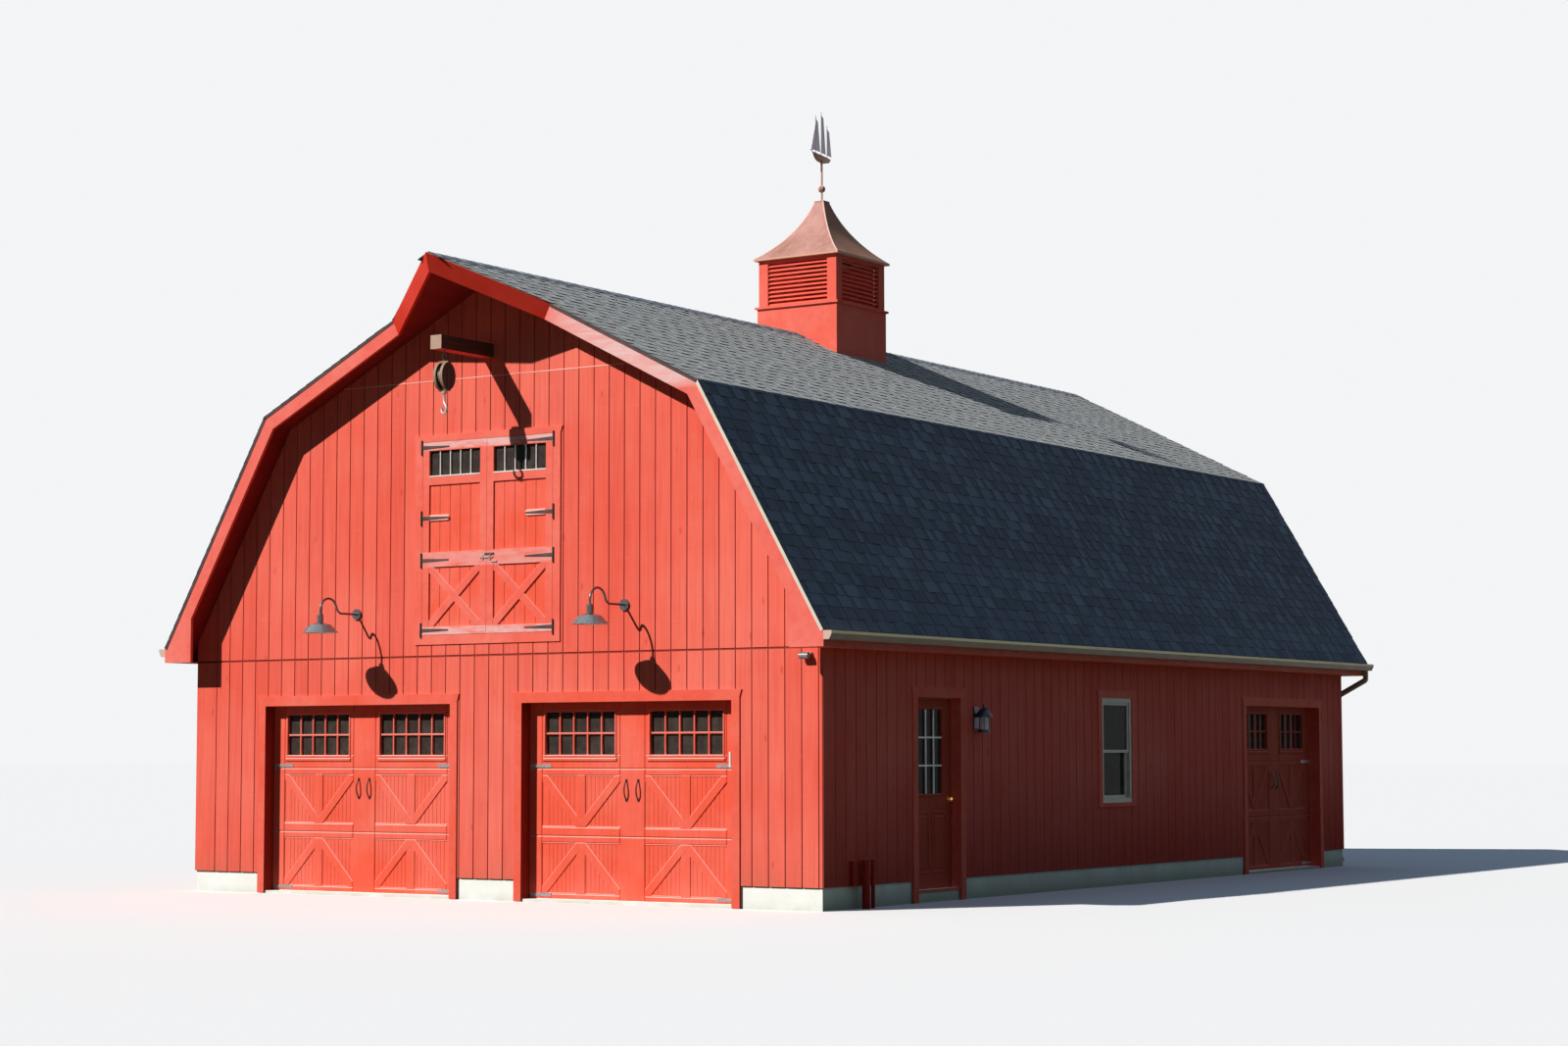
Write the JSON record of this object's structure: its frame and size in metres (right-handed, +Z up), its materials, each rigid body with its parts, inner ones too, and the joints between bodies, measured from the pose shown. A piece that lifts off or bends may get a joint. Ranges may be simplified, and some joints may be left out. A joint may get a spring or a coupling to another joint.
{
  "type": "gambrel barn garage",
  "caption": "Red gambrel barn garage with vertical siding, a shingled roof, hay hood, loft door, hoist beam, louvred cupola and a boat weathervane.",
  "frame": {"origin": "on the ground under the middle of the wall rectangle", "axes": "X runs along the front gable, +Y from front to back, +Z up; the front gable faces -Y"},
  "size_m": [9.314, 15.0607, 9.947],
  "materials": {
    "siding_red": "painted vertical siding, satin",
    "trim_red": "painted trim, satin",
    "door_red": "painted, satin",
    "shingles": "rough asphalt shingles",
    "concrete": "rough cast concrete",
    "boards": "plain floor boards",
    "gutter_brown": "satin",
    "window_almond": "smooth",
    "clear_glass": "clear",
    "lamp_black": "gloss enamel",
    "bulb_white": "frosted",
    "lantern_blue": "gloss enamel",
    "iron_black": "satin",
    "beam_wood": "weathered timber",
    "block_wood": "weathered oiled wood",
    "brass": "polished",
    "copper": "dull copper sheet",
    "vane_metal": "weathered zinc"
  },
  "bodies": {
    "barn": {"footing_side_walls": "concrete", "footing_end_walls": "concrete", "floor_slab": "concrete", "front_wall_piers": "siding_red", "front_gable": "siding_red", "back_wall": "siding_red", "right_wall_panels": "siding_red", "right_wall_heads": "siding_red", "left_wall": "siding_red", "loft_floor": "boards", "roof_lower_slopes": "shingles", "roof_upper_left": "shingles", "roof_upper_right": "shingles", "hay_hood": "shingles", "hood_fascia_boards": "trim_red", "rake_boards": "trim_red", "ridge_cap_right": "shingles", "ridge_cap_left": "shingles", "eave_fascias": "trim_red", "eave_soffits": "trim_red", "gutters_and_downspouts": "gutter_brown", "garage_door_frames": "trim_red", "man_door_frame": "trim_red", "window_casings": "trim_red", "loft_door_casing": "trim_red", "front_garage_doors": "door_red", "side_garage_door": "door_red", "loft_doors": "trim_red", "loft_door_hardware": "iron_black", "garage_door_hardware": "iron_black", "man_door_hinges": "brass", "window_frames": "window_almond", "fixed_glass": "clear_glass", "hay_beam": "beam_wood", "hoist_eye": "iron_black", "barn_lights": "lamp_black", "lamp_bulbs": "bulb_white", "wall_lantern": "lantern_blue", "lantern_glass": "clear_glass", "corner_floodlight": "lamp_black", "standpipes": "door_red", "cupola_base": "siding_red", "cupola_ledge": "trim_red", "cupola_louvre_frame": "trim_red", "cupola_louvres": "trim_red", "cupola_roof": "copper", "finial": "copper"},
    "man_door": {"man_door": "door_red", "man_door_glass": "clear_glass"},
    "man_door_knob": {"man_door_knob": "brass"},
    "weathervane": {"weathervane": "vane_metal"},
    "pulley_block": {"pulley_block": "block_wood"},
    "pulley_sheave": {"pulley_sheave": "iron_black"},
    "hoist_hook": {"hoist_hook": "iron_black"}
  },
  "joints": [
    {"name": "man_door_hinge", "type": "hinge", "parent": "barn", "child": "man_door", "pos_m": [4.183, -4.91, 1.1], "axis": [0, 0, 1], "range_deg": [0, 100]},
    {"name": "man_door_knob_turn", "type": "hinge", "parent": "man_door", "child": "man_door_knob", "pos_m": [4.2145, -4.069, 1.085], "axis": [1, 0, 0], "range_deg": [-60, 60], "stiffness_Nm_per_rad": 0.4},
    {"name": "weathervane_spin", "type": "hinge", "parent": "barn", "child": "weathervane", "pos_m": [0, 0.08, 9.29], "axis": [0, 0, 1], "continuous": true},
    {"name": "pulley_block_swing", "type": "hinge", "parent": "barn", "child": "pulley_block", "pos_m": [0, -7.525, 5.842], "axis": [1, 0, 0], "range_deg": [-30, 30]},
    {"name": "sheave_spin", "type": "hinge", "parent": "pulley_block", "child": "pulley_sheave", "pos_m": [0, -7.525, 5.647], "axis": [1, 0, 0], "continuous": true},
    {"name": "hook_swivel", "type": "hinge", "parent": "pulley_block", "child": "hoist_hook", "pos_m": [0, -7.525, 5.497], "axis": [0, 0, 1], "continuous": true}
  ]
}
